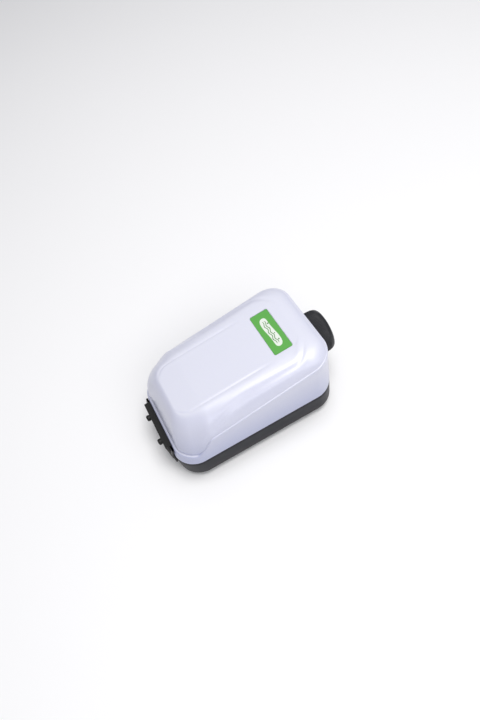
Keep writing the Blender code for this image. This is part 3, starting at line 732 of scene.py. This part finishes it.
def wave_band(middle_at, half, y_range, depth, steps=80):
    """A printed band with round ends that runs along the label and waves from side to side."""
    rings = []
    for k in range(steps + 1):
        share = k / steps
        y = y_range[0] + (y_range[1] - y_range[0]) * share
        width = half * math.sqrt(max(1 - (2 * share - 1) ** 8, 0.02))
        middle = middle_at(share)
        ring = []
        for x, level in ((-width, 0), (width, 0), (width, 1), (-width, 1)):
            ring.append((middle + x, y, roof_height(middle + x - MIDDLE_X) + depth[level]))
        rings.append(ring)
    return ring_mesh(rings)


def label(green):
    """A made-up motif on green film: two waves and three dots in a pale band."""
    pale = printed("label_pale", (0.72, 0.78, 0.70), (0.82, 0.86, 0.80))
    dark = printed("label_dark", (0.05, 0.20, 0.03), (0.07, 0.25, 0.04))
    low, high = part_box("label_plate")
    middle = (low.x + high.x) / 2
    film = on_roof(label_plan(), (-0.5 * MM, -0.08 * MM))
    piece("label_film", film, "housing", green, ["label_plate"], bevel=0.06 * MM)
    band_y = (low.y + 4.6 * MM, high.y - 5.4 * MM)
    band_ink, mark_ink = (-0.2 * MM, -0.05 * MM), (-0.12 * MM, -0.03 * MM)

    def band_middle(share):
        return middle + 0.5 * MM * math.sin(2 * math.pi * share)

    band = wave_band(band_middle, 2.9 * MM, band_y, band_ink)
    piece("label_band", band, "housing", pale)
    wave_y = (band_y[0] + 2.6 * MM, band_y[1] - 2.6 * MM)
    marks = []
    for side in (-1.15, 0.35):

        def wave_middle(share):
            return middle + (side + 0.5 * math.sin(2 * math.pi * (share * 3.5))) * MM

        marks.append(wave_band(wave_middle, 0.28 * MM, wave_y, mark_ink))
    for share, radius in ((0.2, 0.55), (0.42, 0.42), (0.78, 0.6)):
        y = band_y[0] + (band_y[1] - band_y[0]) * share
        marks.append(dot(middle + 1.75 * MM, y, radius * MM, 0.05 * MM, mark_ink))
    piece("label_waves", joined(*marks), "housing", dark)


# ---------------------------------------------------------------- base, feet and screws

BASE_FLOOR = 2.2 * MM  # its thickness
BASE_EDGE_INSET = 2.4 * MM  # of the rounded lower edge
BASE_EDGE_RISE = 1.9 * MM


def base_rings(floor_top):
    """Round the lower edge, up the wall, over the seam's step and down inside to the floor."""
    low, top = TRAY_LOW.z, TRAY_HIGH.z

    def ring(inset, height):
        return [(x, y, height) for x, y in body_outline(inset)]

    rings = []
    for degrees in range(0, 91, 15):
        a = math.radians(degrees)
        inset = BASE_EDGE_INSET * (1 - math.sin(a))
        rings.append(ring(inset, low + BASE_EDGE_RISE * (1 - math.cos(a))))
    for share in (0.4, 0.8):
        rings.append(ring(0, low + (top - low) * share))
    seam = ((0.0, 0.3), (0.08, 0.08), (0.3, 0.0), (1.2, 0.0), (1.2, 1.5), (TRAY_WALL / MM, 1.5))
    for inset, drop in seam:
        rings.append(ring(inset * MM, top - drop * MM))
    rings.append(ring(TRAY_WALL, floor_top))
    return rings


def base_shell(finish):
    """The base, with its posts and filter box, and its holes for what goes through it."""
    floor_top = TRAY_LOW.z + BASE_FLOOR
    adds, cuts = [], []

    def at_each(kind, section):
        return [moved(lathe(section, 32), (spot.x, spot.y, 0)) for spot in middles_of(kind)]

    filter_low, filter_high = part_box("filter_cover")
    filter_x = (filter_low.x + filter_high.x) / 2
    adds += at_each("case_screw", ((4, floor_top / MM - 1), (4, 22.5)))
    adds += at_each("damper", ((3.5, 6.2), (3.5, 9.5), (1.5, 9.5), (1.5, 12)))
    box_x = (filter_x - 20 * MM, filter_x + 20 * MM)
    adds.append(block(box_x, (-14 * MM, 14 * MM), (floor_top - 1 * MM, 12.5 * MM)))
    cuts += at_each("case_screw", ((1.8, 2), (1.8, 26)))
    cuts += at_each("case_screw", ((3.9, 4), (3.4, 5.6), (3.4, 8)))
    cuts += at_each("foot", ((2.6, 2), (2.6, 9)))
    gap = 0.35 * MM
    x = (filter_low.x - gap, filter_high.x + gap)
    y = (filter_low.y - gap, filter_high.y + gap)
    opening = rounded_outline(x, y, 1.2 * MM, 5, (1, 1))
    cuts.append(prism(opening, (TRAY_LOW.z - 1 * MM, 11 * MM)))
    cuts.append(moved(lathe(((3, 9), (3, 14)), 32), (filter_x - 12 * MM, 0, 0)))
    spot = middle_of("cord_gland")
    end_x = MIDDLE_X + HALF_LENGTH
    cuts.append(along_x(lathe(((4.4, -6), (4.4, 6)), 32), (end_x, spot.y, spot.z)))
    shape = moved(ring_mesh(base_rings(floor_top)), (MIDDLE_X, 0, 0))
    piece("base_shell", shape, "housing", finish, ["base_tray"], cuts, adds)


def feet(finish):
    """Suction feet: a stem that plugs into the base, a neck and a hollow cup."""
    section = (
        (1.6, 8.9), (2.7, 8.75), (3.2, 8.3), (3.2, 7.6), (2.35, 7.45), (2.2, 7.1), (2.2, 5.1),
        (2.6, 4.72), (4.2, 4.7), (4.75, 4.3), (5.2, 3.3), (6.1, 2.3), (7.4, 1.45), (8.7, 0.85),
        (9.0, 0.5), (9.0, 0.1), (8.8, 0.0), (8.2, 0.0), (7.3, 0.45), (5.6, 1.4), (3.8, 2.1),
        (1.6, 2.5),
    )
    for number, spot in zip(FOUR, middles_of("foot")):
        shape = moved(lathe(section), (spot.x, spot.y, 0))
        node = f"foot_{number}"
        piece(f"suction_{node}", shape, "housing", finish, [node], angle=45)


def case_screws(finish):
    """Pan heads with a cross, over a tapered thread."""
    head = ((0.8, 5.35), (2.4, 5.3), (2.85, 5.5), (3.0, 6.0), (3.0, 7.5), (1.5, 7.6))
    thread = []
    for turn in range(18):
        height = 12 + turn * 1.1
        thread += [(1.5, height), (1.15, height + 0.4), (1.15, height + 0.7)]
    section = (*head, *thread, (0.7, 33.5), (0.3, 34.4))
    blades = []
    for half_x, half_y in ((1.6 * MM, 0.35 * MM), (0.35 * MM, 1.6 * MM)):
        blades.append(block((-half_x, half_x), (-half_y, half_y), (4 * MM, 6.6 * MM)))
    for number, spot in zip(FOUR, middles_of("case_screw")):
        shape = moved(lathe(section, 40), (spot.x, spot.y, 0))
        cuts = [moved(blade, (spot.x, spot.y, 0)) for blade in blades]
        node = f"case_screw_{number}"
        name = f"{node}_cross_head"
        piece(name, shape, "housing", finish, [node], cuts, angle=30)


def filter_grille(finish):
    """A snap-in cover with air slots and a thumb recess at one end."""
    low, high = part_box("filter_cover")
    middle = (low.x + high.x) / 2
    outline = rounded_outline((low.x, high.x), (low.y, high.y), 1 * MM, 6, (1, 1))
    cuts = []
    for place in range(-13, 13, 4):
        x = middle + place * MM
        gap = rounded_outline((x, x + 1.8 * MM), (-7.5 * MM, 7.5 * MM), 0.85 * MM, 6, (1, 1))
        cuts.append(prism(gap, (low.z - 1 * MM, high.z + 1 * MM)))
    x = (high.x - 1.6 * MM, high.x + 1 * MM)
    thumb = rounded_outline(x, (-4 * MM, 4 * MM), 0.7 * MM, 4, (1, 1))
    cuts.append(prism(thumb, (low.z - 1 * MM, low.z + 0.8 * MM)))
    shape = prism(outline, (low.z, high.z))
    slot, nodes = "charcoal_base", ["filter_cover"]
    piece("filter_grille", shape, "housing", finish, nodes, cuts, bevel=0.18 * MM)


def lead_gland(finish):
    """A rubber gland with a groove for the base's wall and a short ribbed nose."""
    inner_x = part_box("cord_gland")[0].x
    spot = middle_of("cord_gland")
    section = (
        (3.1, 0.2), (3.3, 0), (5.4, 0), (5.6, 0.25), (5.6, 1.1), (5.4, 1.3), (4.1, 1.3), (4.1, 4.3),
        (5.4, 4.3), (5.6, 4.5), (5.6, 5.7), (5.3, 6.1), (4.8, 6.3), (4.7, 7.1), (4.35, 7.3),
        (4.65, 7.6), (4.55, 8.2), (4.2, 8.4), (4.5, 8.7), (4.4, 9.4), (4.1, 9.9), (3.3, 10),
        (3.1, 9.8),
    )
    shape = along_x(lathe(section, 56, closed=True), (inner_x, spot.y, spot.z))
    piece("lead_gland", shape, "housing", finish, ["cord_gland"], angle=45)


# ---------------------------------------------------------------- outlets

BLOCK_HALF_WIDTH = 20.75 * MM
FLANGE_DEPTH = 1.4 * MM
FLANGE_DIP = (23.2 * MM, 22 * MM)  # from the middle and from the ground, one dip on each side


def end_slab(front, back, half, z, upright=False):
    """A slab across the outlet end whose back leans in with the cover's wall above the seam."""
    shift = lean(-HALF_LENGTH, z[1])
    rear = [(back, z[0]), (back, SEAM), (back + shift, z[1])]
    fore = [(front if upright else front + shift, z[1]), (front, SEAM), (front, z[0])]
    return ring_mesh([[(x, y, height) for x, height in rear + fore] for y in (-half, half)])


def outlets(finish):
    """The outlet plate, a block on a wider flange, and the two nozzles that come through it."""
    low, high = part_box("outlet_plate")
    back = MIDDLE_X - HALF_LENGTH - 0.3 * MM
    flange = end_slab(back - FLANGE_DEPTH, back, high.y, (low.z + 1 * MM, high.z - 1 * MM))
    outer = (low.z, high.z)
    adds = [end_slab(low.x, back - 0.02 * MM, BLOCK_HALF_WIDTH, outer, upright=True)]
    cuts = []
    for name, _ in SIDES:
        spot = middle_of(f"outlet_nozzle_{name}")
        cuts.append(along_x(lathe(((3.4, -8), (3.4, 12)), 40), (back, spot.y, spot.z)))
    dip = lathe(((1.5, 0), (1.5, 1)), 24)
    for _, side in SIDES:
        cuts.append(along_x(dip, (back - 2.1 * MM, side * FLANGE_DIP[0], FLANGE_DIP[1])))
    slot, nodes = "black_plastic", ["outlet_plate"]
    piece("outlet_block", flange, "housing", finish, nodes, cuts, adds, bevel=0.3 * MM)
    section = (
        (1.1, 0.1), (1.2, 0), (1.6, 0), (1.7, 0.2), (1.7, 5.0), (3.1, 5.0), (3.3, 5.2), (3.3, 6.0),
        (3.1, 6.2), (2.3, 6.25), (2.3, 12.6), (2.42, 12.8), (2.42, 13.3), (2.3, 13.6), (2.3, 14.6),
        (2.45, 15.6), (2.42, 16.1), (2.1, 16.8), (1.9, 17), (1.6, 17), (1.45, 16.8), (1.45, 12),
        (1.1, 11.6),
    )
    for name, _ in SIDES:
        node = f"outlet_nozzle_{name}"
        spot = middle_of(node)
        inner_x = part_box(node)[1].x
        shape = along_x(lathe(section, 56, closed=True), (inner_x, spot.y, spot.z), -1)
        piece(f"air_{name}_barb", shape, "housing", finish, [node], angle=40)


# ---------------------------------------------------------------- flow dial

RIBS = 96
RIB_POINTS = 8
POINTER_HALF_WIDTH = 0.7 * MM
POINTER_REACH = (4.5 * MM, 12.2 * MM)  # from the dial's axis


def dial_ring(radius, height, ribbed):
    """One ring of the knob, in millimetres; ribbed is the depth of the grip's ribs."""
    count = RIBS * RIB_POINTS
    ring = []
    for i in range(count):
        angle = 2 * math.pi * i / count
        dip = ribbed * (0.5 - 0.5 * math.cos(angle * RIBS)) ** 0.7
        reach = (radius - dip) * MM
        ring.append((reach * math.cos(angle), reach * math.sin(angle), height * MM))
    return ring


def flow_dial(finish, mark_finish):
    """The knob, hollow for the shaft and the nut, and the pointer let into its dished face.

    Each point of its section is (radius, height, depth of the ribs).
    """
    low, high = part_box("flow_knob")
    axis = (low + high) / 2
    depth = (high.x - low.x) / MM
    section = (
        (3.15, 8.6, 0), (3.15, 4.2, 0), (8.0, 4.2, 0), (8.0, 0, 0), (16.6, 0, 0), (17.1, 0.15, 0),
        (17.3, 0.6, 0), (17.25, 1.5, 0), (17.0, 1.9, 0), (17.15, 2.3, 0), (17.15, 2.6, 0.32),
        (16.8, 9.6, 0.32), (16.6, 10.3, 0.1), (16.35, 11.2, 0), (16.0, 12.1, 0), (15.5, 12.8, 0),
        (14.9, depth - 0.15, 0), (14.3, depth, 0), (13.6, depth, 0), (13.0, depth - 0.3, 0),
        (12.6, depth - 0.85, 0), (11.8, depth - 1.0, 0), (4.0, depth - 1.15, 0),
        (0.5, depth - 1.15, 0),
    )
    shape = along_x(ring_mesh([dial_ring(*ring) for ring in section]), (low.x, axis.y, axis.z))
    piece("dial_grip", shape, "dial", finish, ["flow_knob"], angle=50)
    width = (-POINTER_HALF_WIDTH, POINTER_HALF_WIDTH)
    outline = rounded_outline(width, POINTER_REACH, 0.65 * MM, 6, (1, 1))
    base = high.x - 1.4 * MM
    turn = Matrix(((0, 0, 1, base), (1, 0, 0, axis.y), (0, 1, 0, axis.z), (0, 0, 0, 1)))
    pointer = turned(prism(outline, (0, 0.75 * MM)), turn)
    piece("dial_pointer", pointer, "dial", mark_finish, bevel=0.15 * MM)


# ---------------------------------------------------------------- pumps


def diaphragms(finish):
    """Each pump's rubber: a clamped rim, and a web that is baked in place and attached to no body.
    """
    rim = (
        (9.0, 0.05), (9.1, 0), (10.5, 0), (10.6, 0.1), (10.6, 2.3), (10.5, 2.4), (9.1, 2.4),
        (9.0, 2.35),
    )
    web = (
        (1.7, 0), (4.9, 0), (5.5, 0.15), (6.1, 0.6), (6.7, 1.2), (7.3, 1.5), (7.9, 1.45),
        (8.5, 1.35), (8.95, 1.3), (8.95, 2.1), (8.5, 2.1), (7.9, 2.2), (7.3, 2.3), (6.6, 2.1),
        (5.9, 1.5), (5.2, 1.0), (4.6, 0.9), (1.7, 0.9),
    )
    for name, side in SIDES:
        node = f"diaphragm_{name}"
        low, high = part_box(node)
        origin = (low + high) / 2
        origin.y = high.y if side < 0 else low.y
        turn = Matrix.Translation(origin) @ Matrix.Rotation(math.radians(-90 * side), 4, "X")
        fixed, moving = (origin + Vector((0, side * height * MM, 0)) for height in (1.3, 0.9))
        shape = turned(lathe(rim, 72, closed=True), turn)
        piece(f"{node}_rim", shape, "housing", finish, [node], angle=45)
        shape = turned(lathe(web, 72, closed=True), turn)
        bends = (f"arm_{name}", fixed, moving)
        piece(f"{node}_web", shape, "housing", finish, [node], angle=60, bends=bends)


def repaint_inside(finishes):
    """Every CAD piece takes the finish of its own material slot, though not all of them show."""
    for entry in frame["record"]["subparts"]:
        mesh = frame["nodes"][entry["node"]].data
        mesh.materials.clear()
        mesh.materials.append(finishes[entry["material_slot"]])


# ---------------------------------------------------------------- camera, light and floor

FLOOR_HALF = 3.0
SKY = (0.95, 0.96, 1.0, 1.0)
SKY_STRENGTH = 0.32
LAMPS = (  # name, place, size, watts, colour
    ("key", (0.25, -0.12, 1.45), (0.8, 0.8), 15.0, (1.0, 0.99, 0.98)),
    ("front_strip", (0.12, -0.60, 0.64), (0.8, 0.34), 1.9, (1.0, 1.0, 1.0)),
    ("rear_fill", (0.2, 0.8, 0.9), (0.8, 0.5), 0.6, (0.95, 0.96, 1.0)),
)
CAMERA_TURN = (-10.55, 60.29, -19.81)  # azimuth, elevation and roll in degrees
CAMERA_DISTANCE = 0.38076
CAMERA_AIM = (MIDDLE_X, 0, 0.027)
CAMERA_SHIFT = (0.0059, 0.0353)


def studio():
    """A plain pale floor under soft lamps."""
    white = Nodes("floor")
    tone = white.blend(white.noise(3.0), (0.92, 0.92, 0.93), (0.94, 0.94, 0.95))
    white.link(tone, white.shader.inputs["Base Color"])
    white.set(Roughness=0.8)
    mesh = bpy.data.meshes.new("floor")
    half = FLOOR_HALF
    corners = [(-half, -half, 0), (half, -half, 0), (half, half, 0), (-half, half, 0)]
    mesh.from_pydata(corners, [], [(0, 1, 2, 3)])
    mesh.materials.append(white.material)
    floor = bpy.data.objects.new("floor", mesh)
    bpy.context.scene.collection.objects.link(floor)

    world = bpy.data.worlds.new("studio")
    world.use_nodes = True
    sky = world.node_tree.nodes["Background"]
    sky.inputs["Color"].default_value = SKY
    sky.inputs["Strength"].default_value = SKY_STRENGTH
    bpy.context.scene.world = world

    for name, place, size, power, colour in LAMPS:
        data = bpy.data.lights.new(name, "AREA")
        data.shape = "RECTANGLE"
        data.size, data.size_y = size
        data.energy = power
        data.color = colour
        lamp = bpy.data.objects.new(name, data)
        lamp.location = place
        aim = Vector((0, 0, 0.03)) - Vector(place)
        lamp.rotation_euler = aim.to_track_quat("-Z", "Y").to_euler()
        bpy.context.scene.collection.objects.link(lamp)


def camera():
    azimuth, elevation, roll = (math.radians(a) for a in CAMERA_TURN)
    back = Vector((
        math.sin(azimuth) * math.cos(elevation),
        -math.cos(azimuth) * math.cos(elevation),
        math.sin(elevation),
    ))
    right = Vector((math.cos(azimuth), math.sin(azimuth), 0))
    up = back.cross(right)
    turned_right = math.cos(roll) * right + math.sin(roll) * up
    turned_up = back.cross(turned_right)
    data = bpy.data.cameras.new("camera")
    data.lens = 25
    data.sensor_width = 36
    data.shift_x, data.shift_y = CAMERA_SHIFT
    made = bpy.data.objects.new("camera", data)
    axes = Matrix((turned_right, turned_up, back)).transposed().to_4x4()
    made.matrix_world = Matrix.Translation(Vector(CAMERA_AIM) + back * CAMERA_DISTANCE) @ axes
    bpy.context.scene.collection.objects.link(made)
    bpy.context.scene.camera = made
    bpy.context.scene.view_settings.view_transform = "Standard"


camera()
studio()
charcoal = moulded("charcoal_base", (0.013, 0.0135, 0.019), 0.46, shine=0.2)
black = moulded("black_plastic", (0.010, 0.010, 0.010), 0.40, 1400.0, shine=0.3)
knob = moulded("knob_plastic", (0.016, 0.0165, 0.020), 0.42, 1100.0, shine=0.4)
nylon = moulded("white_nylon", (0.66, 0.645, 0.60), 0.42, 500.0)
mark = moulded("dial_mark", (0.34, 0.34, 0.36), 0.45, 1100.0)
finishes = {
    "pearl_cover": pearl(),
    "charcoal_base": charcoal,
    "black_plastic": black,
    "knob_plastic": knob,
    "label_green": printed("label_green", (0.085, 0.36, 0.05), (0.10, 0.41, 0.06)),
    "rubber": rubber(),
    "screw_steel": steel(),
    "core_iron": laminations(),
    "coil_copper": copper(),
    "white_nylon": nylon,
    "magnet_ferrite": ferrite(),
    "filter_felt": felt(),
    "board_green": circuit_board(),
    "hose_silicone": silicone(),
}
repaint_inside(finishes)
cover_shell(finishes["pearl_cover"])
label(finishes["label_green"])
base_shell(charcoal)
feet(finishes["rubber"])
case_screws(finishes["screw_steel"])
filter_grille(charcoal)
lead_gland(finishes["rubber"])
outlets(black)
flow_dial(knob, mark)
diaphragms(finishes["rubber"])
